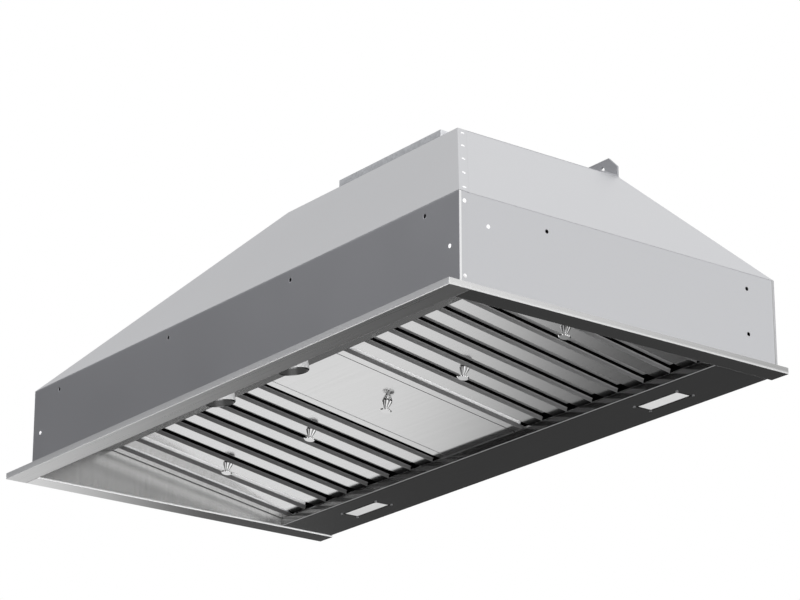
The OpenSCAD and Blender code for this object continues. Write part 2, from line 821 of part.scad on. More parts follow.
// A pull, hanging from z = 0
module pull() {
    mirror([0, 0, 1]) rotate_extrude() polygon([[0, 0], [pull_seat_r, 0],
        [pull_r, pull_shoulder_h], [pull_neck_r, pull_cone_h],
        [pull_disc_r - pull_shoulder_h, pull_h - pull_disc_h],
        [pull_disc_r, pull_h - pull_disc_h / 2], [pull_disc_r - pull_shoulder_h, pull_h],
        [0, pull_h]]);
}

module filter_pulls(x) {
    color("#dddddd") at_filter() for (i = [-pull_step, pull_step])
        translate([x + i * baffle_pitch + pull_shift, -pull_reach, face_w]) pull();
}

module centre_panel() {
    w = 2 * centre_half_w;
    color("#d2d3d4") at_filter() {
        slab([-w / 2, w / 2], [-filter_reach, -tail_start], [face_w, face_w + baffle_t]);
        for (x = [-w / 2, w / 2 - baffle_t])
            slab([x, x + baffle_t], [-filter_reach, filter_tail], [face_w, face_w + filter_t]);
        slab([-w / 2, w / 2], [-filter_reach, -filter_reach + baffle_t],
            [face_w, face_w + filter_t]);
        tail_rail(w);
        for (hx = [-w / 4, w / 4]) translate([hx, 0, 0]) hook();
    }
}

module centre_panel_pull() {
    color("#dddddd") at_filter()
        translate([centre_pull_shift, -centre_pull_reach, face_w]) pull();
}

// Duct collar and damper

module duct_collar() {
    half = collar_w / 2;
    color("#c3c6c9") difference() {
        union() {
            translate([0, collar_y, 0]) difference() {
                slab([-half, half], [-half, half], [canopy_h, collar_top]);
                slab([-half + sheet_t, half - sheet_t], [-half + sheet_t, half - sheet_t],
                    [canopy_h - cut, collar_top - sheet_t]);
            }
            collar_ring(duct_r, duct_r + sheet_t, sleeve_top, collar_top - sheet_t);
        }
        translate([0, collar_y, collar_top - sheet_t - cut])
            cylinder(r = duct_r, h = sheet_t + 2 * cut);
    }
}

// The round sleeve under the bore: a step that stops the duct, and a seat for the damper
module damper_ring() {
    seat_top = damper_z - damper_t / 2 - seat_gap;
    color("#bcbfc3") difference() {
        union() {
            collar_ring(sleeve_r, duct_r + sheet_t, sleeve_top - sheet_t, sleeve_top);
            collar_ring(sleeve_r, sleeve_r + sheet_t, canopy_h, sleeve_top);
            collar_ring(sleeve_r - seat_w, sleeve_r + sheet_t, seat_top - seat_t, seat_top);
        }
        for (dy = [-damper_pin_dy, damper_pin_dy])
            translate([0, collar_y + dy, damper_z])
                x_bar(damper_pin_r, 2 * (sleeve_r + sheet_t) + cut);
    }
}

module collar_ring(r_in, r_out, z0, z1) {
    translate([0, collar_y, z0]) difference() {
        cylinder(r = r_out, h = z1 - z0);
        translate([0, 0, -cut]) cylinder(r = r_in, h = z1 - z0 + 2 * cut);
    }
}

module damper_pins() {
    color("#9c9ea1") for (dy = [-damper_pin_dy, damper_pin_dy])
        translate([0, collar_y + dy, damper_z]) x_bar(damper_pin_r, 2 * (sleeve_r + sheet_t));
}

// One of the damper's two half discs, with its knuckle: the rear one, for side = 1
module damper_flap(side) {
    color("#b9bcbf") translate([0, collar_y, damper_z]) difference() {
        union() {
            intersection() {
                translate([0, 0, -damper_t / 2]) cylinder(r = damper_r, h = damper_t);
                translate([-damper_r, side > 0 ? damper_pin_dy : -damper_pin_dy - damper_r,
                    -damper_t]) cube([2 * damper_r, damper_r, 2 * damper_t]);
            }
            translate([0, side * damper_pin_dy, 0]) x_bar(knuckle_r, 2 * knuckle_half);
        }
        translate([0, side * damper_pin_dy, 0])
            x_bar(damper_pin_r + pin_clear, 2 * (damper_r + cut));
    }
}

// A hanging bracket on the top plate's rear right corner
module hanging_bracket() {
    x0 = bracket_x - bracket_w;
    top = canopy_h + bracket_h;
    color("#84858a") {
        translate([0, half_d, 0]) rotate([90, 0, 0]) linear_extrude(bracket_t) difference() {
            polygon([[x0, canopy_h], [bracket_x, canopy_h], [bracket_x, top - bracket_chamfer],
                [bracket_x - bracket_chamfer, top], [x0 + bracket_chamfer, top],
                [x0, top - bracket_chamfer]]);
            translate([bracket_hole_x, bracket_hole_z]) circle(r = bracket_hole_r);
        }
        slab([x0, bracket_x], [half_d - bracket_foot_d, half_d],
            [canopy_h, canopy_h + bracket_t]);
    }
}

// Screws on the top plate: two through each hanging bracket's foot, four for the blower
module top_screws() {
    foot_y = half_d - bracket_foot_d * 0.6;
    collar_edge = collar_w / 2 + screw_r + sheet_t;
    color("#cfd1d3") {
        for (side = [-1, 1], share = [0.25, 0.75])
            translate([side * (bracket_x - bracket_w * share), foot_y, canopy_h + bracket_t])
                cylinder(r = screw_r, h = screw_h);
        for (side = [-1, 1], side_y = [-1, 1])
            translate([side * collar_edge, collar_y + side_y * (outlet_d / 2 - outlet_screw_inset),
                canopy_h]) cylinder(r = screw_r, h = screw_h);
    }
}

// Blower

function scroll_r(a) = scroll_start_r
    + (scroll_end_r - scroll_start_r) * (a - scroll_start_a) / (360 - scroll_start_a);

// The spiral's outline in Y and Z, with its outlet, moved inwards by inset and up by rise
function scroll_outline(inset, rise) = concat(
    [for (i = [0 : scroll_steps]) let (a = scroll_start_a + (360 - scroll_start_a) * i
            / scroll_steps, r = scroll_r(a) - inset)
        [wheel_y + r * cos(a), wheel_z + r * sin(a)]],
    [[wheel_y + scroll_end_r - inset, shell_top_z + rise],
        [outlet_front_y + inset, shell_top_z + rise]]);

module blower_housing() {
    color("#b4b7ba") difference() {
        union() {
            along_x(housing_w) polygon(scroll_outline(0, 0));
            slab([-housing_half - outlet_flange_w, housing_half + outlet_flange_w],
                [outlet_front_y, outlet_front_y + outlet_d],
                [shell_top_z - sheet_t, shell_top_z]);
        }
        along_x(housing_w - 2 * sheet_t) polygon(scroll_outline(sheet_t, cut));
        translate([0, wheel_y, wheel_z]) x_bar(inlet_r, housing_w + 2 * cut);
    }
}

// The bell mouths around the two inlets
module inlet_rings() {
    color("#9fa2a5") for (side = [0, 1]) mirror([side, 0, 0])
        translate([housing_half, wheel_y, wheel_z]) rotate([0, 90, 0]) rotate_extrude()
            translate([inlet_r, 0]) {
                intersection() {
                    translate([ring_w, 0]) scale([1, ring_h / ring_w]) circle(r = ring_w);
                    square([ring_w, ring_h]);
                }
                translate([ring_w, 0]) square([ring_seat, ring_h]);
            }
}

module blower_wheel() {
    half = wheel_w / 2;
    color("#6f7275") translate([0, wheel_y, wheel_z]) {
        difference() {
            union() {
                for (x = [-half, half - wheel_ring_t])
                    wheel_ring(wheel_r - wheel_ring_w, x, wheel_ring_t);
                wheel_ring(shaft_r, -wheel_disc_t / 2, wheel_disc_t);
                x_bar(hub_r, hub_l);
                along_x(wheel_w) for (i = [0 : blade_n - 1]) rotate(i * 360 / blade_n) blade();
            }
            x_bar(shaft_r, hub_l + 2 * cut);
        }
    }
}

module wheel_ring(r_in, x, w) {
    translate([x, 0, 0]) rotate([0, 90, 0]) difference() {
        cylinder(r = wheel_r, h = w);
        translate([0, 0, -cut]) cylinder(r = r_in, h = w + 2 * cut);
    }
}

// A blade's outline: a strip that leans forward from its inner edge
module blade() {
    translate([wheel_r - blade_depth, 0]) rotate(blade_lean)
        square([(blade_depth - blade_t) / cos(blade_lean), blade_t]);
}

module wheel_shaft() {
    color("#c9cbcd") translate([motor_face_x - shaft_in, wheel_y, wheel_z]) rotate([0, 90, 0])
        cylinder(r = shaft_r, h = shaft_in - motor_face_x + shaft_out);
}

module motor() {
    color("#3a3c3f") translate([motor_face_x, wheel_y, wheel_z]) rotate([0, -90, 0])
        difference() {
            union() {
                translate([0, 0, motor_nose_l]) cylinder(r = motor_r, h = motor_len - motor_nose_l);
                cylinder(r = motor_nose_r, h = motor_nose_l + cut);
            }
            translate([0, 0, -cut])
                cylinder(r = shaft_r + shaft_clear, h = shaft_in + 2 * cut);
        }
}

module motor_bracket() {
    arm_l = inlet_r + ring_w + ring_seat;
    color("#8d9093") translate([-housing_half - ring_h - spider_t, wheel_y, wheel_z])
        rotate([0, 90, 0]) linear_extrude(spider_t) {
            circle(r = spider_hub_r);
            for (i = [0 : spider_arm_n - 1]) rotate(i * 360 / spider_arm_n)
                translate([0, -spider_arm_w / 2]) square([arm_l, spider_arm_w]);
        }
}

// Electrical boxes on the rear wall

module junction_box() {
    color("#bfc2c4") difference() {
        slab([box_x - box_w / 2, box_x + box_w / 2], [rear_in_y - box_d, rear_in_y],
            [box_z, box_z + box_h]);
        slab([box_x - box_w / 2 + box_wall, box_x + box_w / 2 - box_wall],
            [rear_in_y - box_d - cut, rear_in_y - box_wall],
            [box_z + box_wall, box_z + box_h - box_wall]);
        for (share = [0.3, 0.7])
            translate([box_x - box_w / 2 + box_w * share, rear_in_y - box_d / 2,
                box_z + box_h - box_wall - cut])
                cylinder(r = knockout_r, h = box_wall + 2 * cut);
    }
}

module junction_box_cover() {
    y0 = rear_in_y - box_d - box_lid_t;
    color("#c9ccce") {
        slab([box_x - box_w / 2, box_x + box_w / 2], [y0, y0 + box_lid_t],
            [box_z - box_lid_lap, box_z + box_h]);
        slab([box_x - box_w / 2, box_x + box_w / 2], [y0, rear_in_y - box_d + box_lid_lap],
            [box_z - box_lid_lap, box_z - box_lid_lap + box_lid_t]);
    }
}

module run_capacitor() {
    y = rear_in_y - capacitor_r - capacitor_strap_t;
    color("#d9dadb") translate([capacitor_x, y, capacitor_z]) {
        cylinder(r = capacitor_r, h = capacitor_h);
        for (dx = [-capacitor_r / 2, capacitor_r / 2])
            translate([dx, 0, capacitor_h]) cylinder(r = terminal_r, h = terminal_h);
        slab([-1.6 * capacitor_r, 1.6 * capacitor_r],
            [capacitor_r - capacitor_strap_t, capacitor_r + capacitor_strap_t],
            [(capacitor_h - capacitor_strap_h) / 2, (capacitor_h + capacitor_strap_h) / 2]);
    }
}

// Rivets

module rivet() {
    dome_r = (rivet_r * rivet_r + rivet_h * rivet_h) / (2 * rivet_h);
    intersection() {
        translate([0, 0, rivet_h - dome_r]) sphere(r = dome_r);
        cylinder(r = rivet_r, h = rivet_h);
    }
}

module band_rivets() {
    color("#efefef") for (side = [0, 1]) mirror([side, 0, 0]) {
        translate([band_x - band_rivet_inset, band_front_y, band_rivet_z]) rotate([90, 0, 0]) rivet();
        for (z = tab_rivet_zs)
            translate([band_x, tab_rivet_y, z]) rotate([0, 90, 0]) rivet();
        translate([band_x - sheet_t, side_rivet_y, side_rivet_z]) rotate([0, 90, 0]) rivet();
    }
}

module canopy_rivets() {
    run = side_len / cos(edge_lean) - 2 * canopy_rivet_end;
    color("#efefef") for (side = [0, 1]) mirror([side, 0, 0])
        at_side_slope(band_x) for (i = [0 : canopy_rivet_n - 1])
            translate([0, band_front_y, 0]) rotate(edge_lean)
                translate([canopy_rivet_end + run * i / (canopy_rivet_n - 1), rivet_inset, 0])
                    mirror([0, 0, 1]) rivet();
}

front_band();
on_left() side_band();  // left_band
side_band();  // right_band
canopy_front();
on_left() canopy_side();  // canopy_left
canopy_side();  // canopy_right
rear_wall();
top_plate();
front_flange();
on_left() side_flange();  // left_flange
side_flange();  // right_flange
on_left() side_liner_wall();  // left_liner_wall
side_liner_wall();  // right_liner_wall
rear_light_panel();
grease_trough();
control_panel();
filter_catches();
on_left() hanging_bracket();  // left_hanging_bracket
hanging_bracket();  // right_hanging_bracket
duct_collar();
damper_ring();
damper_pins();
damper_flap(-1);  // front_damper_flap
damper_flap(1);  // rear_damper_flap
filter_frame(-filter_x);  // left_filter_frame
face_baffles(-filter_x);  // left_filter_face_baffles
back_baffles(-filter_x);  // left_filter_back_baffles
filter_pulls(-filter_x);  // left_filter_pulls
filter_frame(filter_x);  // right_filter_frame
face_baffles(filter_x);  // right_filter_face_baffles
back_baffles(filter_x);  // right_filter_back_baffles
filter_pulls(filter_x);  // right_filter_pulls
centre_panel();
centre_panel_pull();
fan_knob();
knob_shaft(fan_knob_x);  // fan_knob_shaft
light_knob();
knob_shaft(light_knob_x);  // light_knob_shaft
rotary_switch(fan_knob_x);  // fan_switch
rotary_switch(light_knob_x);  // light_dimmer
on_left() light_lens();  // left_light_lens
light_lens();  // right_light_lens
on_left() light_housing();  // left_light_housing
light_housing();  // right_light_housing
on_left() led_board();  // left_led_board
led_board();  // right_led_board
light_screws();
led_driver();
junction_box();
junction_box_cover();
run_capacitor();
blower_housing();
inlet_rings();
blower_wheel();
wheel_shaft();
motor();
motor_bracket();
band_rivets();
canopy_rivets();
top_screws();
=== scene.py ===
import math

import bpy
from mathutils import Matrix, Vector


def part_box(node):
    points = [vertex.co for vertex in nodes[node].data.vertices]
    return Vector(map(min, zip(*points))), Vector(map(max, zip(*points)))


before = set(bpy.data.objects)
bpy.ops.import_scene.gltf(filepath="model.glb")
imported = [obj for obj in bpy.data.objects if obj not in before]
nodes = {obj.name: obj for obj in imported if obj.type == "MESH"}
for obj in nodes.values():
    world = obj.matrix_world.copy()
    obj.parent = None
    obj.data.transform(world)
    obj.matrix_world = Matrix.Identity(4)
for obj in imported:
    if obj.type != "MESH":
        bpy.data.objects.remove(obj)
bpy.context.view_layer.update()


# Node helpers

# Most values of a noise lie between the first two, most of the fine lines' between the others
NOISE_LO, NOISE_HI = 0.3, 0.7
LINE_LO, LINE_HI = 0.35, 0.65
# Brushed lines are a noise drawn out along one axis: its share of scale there, by axis
DRAWN_OUT = 0.008
BRUSH_STRETCH = {"X": (DRAWN_OUT, 1, 1), "Y": (1, DRAWN_OUT, 1), "Z": (1, 1, DRAWN_OUT)}
# Scale of the coarser lines, as a share of the fine ones', and of a sheet's slow change of tone
COARSER, BROAD = 0.22, 4.0
# Depth of the sheets' fine grain and of the rougher surfaces', in metres like all lengths here
GRAIN_DEPTH, ROUGH_DEPTH = 0.0001, 0.0002
# How much the roughness of brushed steel goes up and down
BRUSHED_VARIES = 0.012
# Tones of painted shade: at the filters' rear ends, round the lights' openings, and on the strips
# of wall over the filters
SHADE_DARK = (0.03, 0.03, 0.03)
SHADED = (0.004, 0.004, 0.004)


def new_material(name):
    mat = bpy.data.materials.new(name)
    mat.use_nodes = True
    mat.node_tree.nodes.clear()
    return mat, mat.node_tree.nodes, mat.node_tree.links


def feed(ls, value, target):
    """Links a value to a socket, or sets the socket where the value is a number or a colour."""
    if hasattr(value, "is_linked"):
        ls.new(value, target)
    elif isinstance(value, tuple):
        target.default_value = (*value, 1.0)
    else:
        target.default_value = value


def math_node(ns, ls, op, a, b=None):
    m = ns.new("ShaderNodeMath")
    m.operation = op
    feed(ls, a, m.inputs[0])
    if b is not None:
        feed(ls, b, m.inputs[1])
    return m.outputs[0]


def weighted_sum(ns, ls, a, share_a, b, share_b):
    return math_node(ns, ls, "ADD", math_node(ns, ls, "MULTIPLY", a, share_a),
                     math_node(ns, ls, "MULTIPLY", b, share_b))


def distance_from(ns, ls, value, place):
    """How far a value lies from a place, on either side."""
    return math_node(ns, ls, "ABSOLUTE", math_node(ns, ls, "SUBTRACT", value, place))


def map_range(ns, ls, value, lo, hi, out_lo=0.0, out_hi=1.0, smooth=False):
    m = ns.new("ShaderNodeMapRange")
    m.interpolation_type = "SMOOTHSTEP" if smooth else "LINEAR"
    feed(ls, value, m.inputs["Value"])
    for key, bound in (("From Min", lo), ("From Max", hi), ("To Min", out_lo), ("To Max", out_hi)):
        m.inputs[key].default_value = bound
    return m.outputs["Result"]


def noise(ns, ls, scale, stretch=(1, 1, 1), detail=3.0, rough=0.6):
    coord = ns.new("ShaderNodeTexCoord")
    mapping = ns.new("ShaderNodeMapping")
    mapping.inputs["Scale"].default_value = stretch
    ls.new(coord.outputs["Object"], mapping.inputs["Vector"])
    n = ns.new("ShaderNodeTexNoise")
    n.inputs["Scale"].default_value = scale
    n.inputs["Detail"].default_value = detail
    n.inputs["Roughness"].default_value = rough
    ls.new(mapping.outputs[0], n.inputs["Vector"])
    return n.outputs["Fac"]


def parts_of(ns, ls, kind="Object"):
    """The three parts of a point's place, or of another of its coordinates."""
    coord = ns.new("ShaderNodeTexCoord")
    sep = ns.new("ShaderNodeSeparateXYZ")
    ls.new(coord.outputs[kind], sep.inputs[0])
    return sep.outputs


def mix(ns, ls, fac, a, b, kind="RGBA"):
    """From a to b, which are colours, or directions where the kind is VECTOR."""
    m = ns.new("ShaderNodeMix")
    m.data_type = kind
    ls.new(fac, m.inputs["Factor"])
    for key, value in (("A", a), ("B", b)):
        feed(ls, value, [i for i in m.inputs if i.name == key and i.type == kind][0])
    return [o for o in m.outputs if o.type == kind][0]


def two_tones(ns, ls, fac, color, less, more):
    """A colour between two shares of itself."""
    return mix(ns, ls, fac, tuple(c * less for c in color),
               tuple(min(1.0, c * more) for c in color))


def uneven(ns, ls, fac, lo, hi):
    """A roughness that follows a noise between two values."""
    return map_range(ns, ls, fac, NOISE_LO, NOISE_HI, lo, hi)


def below(ns, ls, top, bent, soft=0.001):
    """The bent normal under a height, and the plain one above it."""
    share = map_range(ns, ls, parts_of(ns, ls)[2], top - soft, top, 1.0, 0.0)
    plain = ns.new("ShaderNodeNewGeometry")
    return mix(ns, ls, share, plain.outputs["Normal"], bent, "VECTOR")


def finish_material(ns, ls, color, rough, metallic, bump=None, bump_strength=0.1,
                    bump_distance=GRAIN_DEPTH, coat=0.0, edge=0.0, gloss=0.5, edge_top=None):
    """Brings the values to the surface. Edges look rounded by edge, up to the height edge_top."""
    out = ns.new("ShaderNodeOutputMaterial")
    p = ns.new("ShaderNodeBsdfPrincipled")
    ls.new(p.outputs[0], out.inputs["Surface"])
    for key, value in (("Base Color", color), ("Roughness", rough), ("Metallic", metallic),
                       ("Coat Weight", coat), ("Specular IOR Level", gloss)):
        feed(ls, value, p.inputs[key])
    normal = None
    if edge > 0:
        e = ns.new("ShaderNodeBevel")
        e.samples = 8
        e.inputs["Radius"].default_value = edge
        normal = e.outputs[0]
        if edge_top is not None:
            normal = below(ns, ls, edge_top, e.outputs[0])
    if bump is not None:
        b = ns.new("ShaderNodeBump")
        b.inputs["Strength"].default_value = bump_strength
        b.inputs["Distance"].default_value = bump_distance
        ls.new(bump, b.inputs["Height"])
        if normal is not None:
            ls.new(normal, b.inputs["Normal"])
        normal = b.outputs[0]
    if normal is not None:
        ls.new(normal, p.inputs["Normal"])


# Tones that follow the place on the object: painted light and shade, and lines of joints and
# painted highlights

def light_and_shade_along(ns, ls, color, axis, start, stop, share):
    """Painted light and shade: a colour that goes over into a share of itself along an axis."""
    scale = ns.new("ShaderNodeVectorMath")
    scale.operation = "SCALE"
    ls.new(color, scale.inputs[0])
    ls.new(map_range(ns, ls, parts_of(ns, ls)[axis], start, stop, 1.0, share),
           scale.inputs["Scale"])
    return scale.outputs[0]


def shaded_rear_end(ns, ls, color, tilt, place, start, stop):
    """Painted shade: darkens a sloping face towards its rear end, between two distances from it.
    """
    at = parts_of(ns, ls)
    back = weighted_sum(ns, ls,
                        math_node(ns, ls, "SUBTRACT", place[0], at[1]), math.cos(tilt),
                        math_node(ns, ls, "SUBTRACT", at[2], place[1]), math.sin(tilt))
    return mix(ns, ls, map_range(ns, ls, back, start, stop, smooth=True), SHADE_DARK, color)


def painted_shade_over(ns, ls, color, tilt, place, start, full=0.001, fade=(0.010, 0.016)):
    """Painted shade: darkens the strip of a wall that shows past the filters' edge, over their
    underside.
    """
    at = parts_of(ns, ls)
    up = weighted_sum(ns, ls,
                      math_node(ns, ls, "SUBTRACT", at[1], place[0]), math.sin(tilt),
                      math_node(ns, ls, "SUBTRACT", at[2], place[1]), math.cos(tilt))
    strip = math_node(ns, ls, "MULTIPLY", map_range(ns, ls, up, start, start + full),
                      map_range(ns, ls, up, start + fade[0], start + fade[1], 1.0, 0.0))
    return mix(ns, ls, strip, color, SHADED)


def joint_and_highlight_lines(ns, ls, color, metallic, lines, tone, core=0.4):
    """Dark joints, and painted highlights along bends, as narrow lines along planes, given as
    axis, place and half width.

    The lines hold their tone over the core's share of their width. Gives colour and metallic.
    """
    at = parts_of(ns, ls)
    mask = None
    for axis, place, width in lines:
        part = map_range(ns, ls, distance_from(ns, ls, at[axis], place), width * core, width,
                         1.0, 0.0)
        mask = part if mask is None else math_node(ns, ls, "MAXIMUM", mask, part)
    plain = math_node(ns, ls, "SUBTRACT", 1.0, mask)
    return (mix(ns, ls, mask, color, (tone,) * 3),
            math_node(ns, ls, "MULTIPLY", plain, metallic))


# Kinds of material

def brushed(name, color, axis, rough=0.2, spread=0.02, grain=1300, strength=0.02,
            metallic=1.0, edge=0.0006, gloss=0.5, end=None, over=None, to=None, lines_at=None):
    """Steel with fine parallel lines along one axis.

    to, end, over and lines_at are the values of light_and_shade_along, shaded_rear_end,
    painted_shade_over and joint_and_highlight_lines.
    """
    mat, ns, ls = new_material(name)
    along = BRUSH_STRETCH[axis]
    fine = noise(ns, ls, grain, along)
    coarse = noise(ns, ls, grain * COARSER, along, 2.0, 0.5)
    both = weighted_sum(ns, ls, fine, 0.6, coarse, 0.4)
    base = two_tones(ns, ls, map_range(ns, ls, both, LINE_LO, LINE_HI), color,
                     1 - spread, 1 + spread)
    if to is not None:
        base = light_and_shade_along(ns, ls, base, *to)
    if end is not None:
        base = shaded_rear_end(ns, ls, base, *end)
    if over is not None:
        base = painted_shade_over(ns, ls, base, *over)
    if lines_at is not None:
        base, metallic = joint_and_highlight_lines(ns, ls, base, metallic, *lines_at)
    r = uneven(ns, ls, both, rough - BRUSHED_VARIES, rough + BRUSHED_VARIES)
    finish_material(ns, ls, base, r, metallic, fine, strength, edge=edge, gloss=gloss)
    return mat


def satin(name, color, rough=0.45, metallic=1.0, grain=900, spread=0.015, strength=0.03,
          edge=0.0008, edge_top=None, lines_at=None):
    """Smooth sheet with a faint fine grain and a slow change of tone."""
    mat, ns, ls = new_material(name)
    fine = noise(ns, ls, grain, detail=2.0)
    broad = noise(ns, ls, BROAD, detail=2.0)
    both = weighted_sum(ns, ls, fine, 0.5, broad, 0.5)
    base = two_tones(ns, ls, map_range(ns, ls, both, LINE_LO, LINE_HI), color,
                     1 - spread, 1 + spread)
    if lines_at is not None:
        base, metallic = joint_and_highlight_lines(ns, ls, base, metallic, *lines_at)
    r = uneven(ns, ls, broad, rough - 0.02, rough + 0.02)
    finish_material(ns, ls, base, r, metallic, fine, strength, edge=edge, edge_top=edge_top)
    return mat


def tab_with_fold_highlight(name, color, rough, start, width, soft=0.0008):
    """Satin tab whose first few millimetres along Y carry a painted highlight, near white, for the
    round of its fold.
    """
    mat, ns, ls = new_material(name)
    # The round of the fold as a painted highlight
    fold = map_range(ns, ls, parts_of(ns, ls)[1], start + width - soft, start + width, 1.0, 0.0)
    sheet = two_tones(ns, ls, noise(ns, ls, BROAD, detail=2.0), color, 0.985, 1.0)
    base = mix(ns, ls, fold, sheet, (0.98, 0.98, 0.985))
    finish_material(ns, ls, base, rough, 1.0, noise(ns, ls, 900, detail=2.0), 0.03)
    return mat


def spun_face(name, centre, dark, light, ring_scale=9000.0):
    """Turned face of a knob: fine rings, and a painted reflection, a pale band across the dark
    face.
    """
    mat, ns, ls = new_material(name)
    at = parts_of(ns, ls)
    x = math_node(ns, ls, "SUBTRACT", at[0], centre[0])
    y = math_node(ns, ls, "SUBTRACT", at[1], centre[1])
    off = math_node(ns, ls, "ABSOLUTE", weighted_sum(ns, ls, x, 0.6, y, 0.8))
    # The pale band is a painted reflection
    band = map_range(ns, ls, off, 0.002, 0.010, 1.0, 0.0, smooth=True)
    far = math_node(ns, ls, "SQRT", weighted_sum(ns, ls, x, x, y, y))
    rings = math_node(ns, ls, "SINE", math_node(ns, ls, "MULTIPLY", far, ring_scale))
    ring = map_range(ns, ls, rings, -1.0, 1.0)
    tone = mix(ns, ls, band, (dark,) * 3, (light,) * 3)
    base = mix(ns, ls, math_node(ns, ls, "MULTIPLY", ring, 0.06), tone, (0.3, 0.3, 0.3))
    finish_material(ns, ls, base, 0.12, 1.0, ring, 0.03)
    return mat


def panel_with_recess_shade(name, color, rough, spread, lights, half, seal):
    """Steel brushed along X, with a thin band of painted shade round each light's opening."""
    mat, ns, ls = new_material(name)
    fine = noise(ns, ls, 650, BRUSH_STRETCH["X"])
    steel = two_tones(ns, ls, map_range(ns, ls, fine, LINE_LO, LINE_HI), color,
                      1 - spread, 1 + spread)
    at = parts_of(ns, ls)
    inside = None
    for centre in lights:
        near = None
        for axis in (0, 1):
            part = math_node(ns, ls, "LESS_THAN", distance_from(ns, ls, at[axis], centre[axis]),
                             half[axis] + seal)
            near = part if near is None else math_node(ns, ls, "MULTIPLY", near, part)
        inside = near if inside is None else math_node(ns, ls, "MAXIMUM", inside, near)
    base = mix(ns, ls, inside, steel, SHADE_DARK)
    r = uneven(ns, ls, fine, rough - BRUSHED_VARIES, rough + BRUSHED_VARIES)
    finish_material(ns, ls, base, r, 1.0, fine, 0.02, edge=0.0006)
    return mat


def spangled(name, color, metallic=0.4, crystals=230.0):
    """Hot-dip galvanised sheet: angular crystals of slightly different grey."""
    mat, ns, ls = new_material(name)
    coord = ns.new("ShaderNodeTexCoord")
    v = ns.new("ShaderNodeTexVoronoi")
    v.inputs["Scale"].default_value = crystals
    ls.new(coord.outputs["Object"], v.inputs["Vector"])
    sep = ns.new("ShaderNodeSeparateColor")
    ls.new(v.outputs["Color"], sep.inputs[0])
    base = two_tones(ns, ls, sep.outputs[0], color, 0.90, 1.08)
    r = map_range(ns, ls, sep.outputs[1], 0.0, 1.0, 0.3, 0.52)
    fine = noise(ns, ls, 300, (1, 0.3, 1), 2.0)
    finish_material(ns, ls, base, r, metallic, fine, 0.05, ROUGH_DEPTH, edge=0.0008)
    return mat


def plastic(name, color, rough=0.45, coat=0.0):
    """Moulded or painted surface with a fine grain."""
    mat, ns, ls = new_material(name)
    fine = noise(ns, ls, 1400, detail=2.0)
    base = two_tones(ns, ls, fine, color, 0.93, 1.05)
    r = uneven(ns, ls, fine, rough - 0.05, rough + 0.05)
    finish_material(ns, ls, base, r, 0.0, fine, 0.12, ROUGH_DEPTH, coat=coat)
    return mat


def chrome_with_painted_reflections(name, color, rough=0.06, stripes=9.0):
    """Chrome of the small pulls: painted reflections as bright and dark stripes round the post,
    and painted shade on the faces that look down.
    """
    mat, ns, ls = new_material(name)
    looks = parts_of(ns, ls, "Normal")
    turn = math_node(ns, ls, "ARCTAN2", looks[1], looks[0])
    wave = math_node(ns, ls, "SINE", math_node(ns, ls, "MULTIPLY", turn, stripes))
    # Painted reflections: bright and dark stripes by the way the surface faces
    bright = map_range(ns, ls, wave, -0.8, -0.55, smooth=True)
    post = mix(ns, ls, bright, (0.02, 0.02, 0.02), color)
    # Painted shade: faces that look down are darker
    under = map_range(ns, ls, looks[2], -0.9, -0.7, 1.0, 0.0)
    base = mix(ns, ls, under, post, tuple(c * 0.82 for c in color))
    r = uneven(ns, ls, noise(ns, ls, 260), rough, rough + 0.04)
    finish_material(ns, ls, base, r, 1.0)
    return mat


def polished(name, color, rough=0.07):
    """Smooth bright metal."""
    mat, ns, ls = new_material(name)
    fine = noise(ns, ls, 260)
    base = two_tones(ns, ls, fine, color, 0.97, 1.0)
    finish_material(ns, ls, base, uneven(ns, ls, fine, rough, rough + 0.06), 1.0)
    return mat


# The filters' own frame: the turning line, the slope, and the height of their underside
PIVOT_Y, PIVOT_Z = 0.2105, 0.0135
TILT = math.radians(9.5)
FACE_H = 0.00186
SLOPE = (TILT, (PIVOT_Y, PIVOT_Z))
# Each filter's middle and half width, the width of its rails and the distance of its baffles
FILTER_X, FILTER_HALF, RAIL_W = 0.31775, 0.4635 / 2, 0.016
PITCH = 0.0594

# The flange's outer lip, its rolled inner edge, and the seam between the lips at the side
LIP_X, LIP_Y = 0.589, -0.321
HEM_X, HEM_TOP = 0.554, 0.0035
SEAM_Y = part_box("right_flange")[0][1]

# The joint line near the side bands' rear ends, and its half width
JOINT_Y, JOINT_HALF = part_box("right_band")[1][1] - 0.0028, 0.0014

# The front band's tabs: where the painted highlights of their folds start along Y, and how wide
# they are
FOLD_Y, FOLD_W = -0.2855, 0.0045

# Where the two lights stand in the rear panel, half their length and width, and the width of the
# painted shade round them
LIGHTS, LIGHT_HALF = [], (0, 0)
RECESS_SHADE_W = 0.0032
for name in ("left_light_lens", "right_light_lens"):
    lo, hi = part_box(name)
    LIGHTS.append(((lo[0] + hi[0]) / 2, (lo[1] + hi[1]) / 2))
    LIGHT_HALF = ((hi[0] - lo[0]) / 2, (hi[1] - lo[1]) / 2)

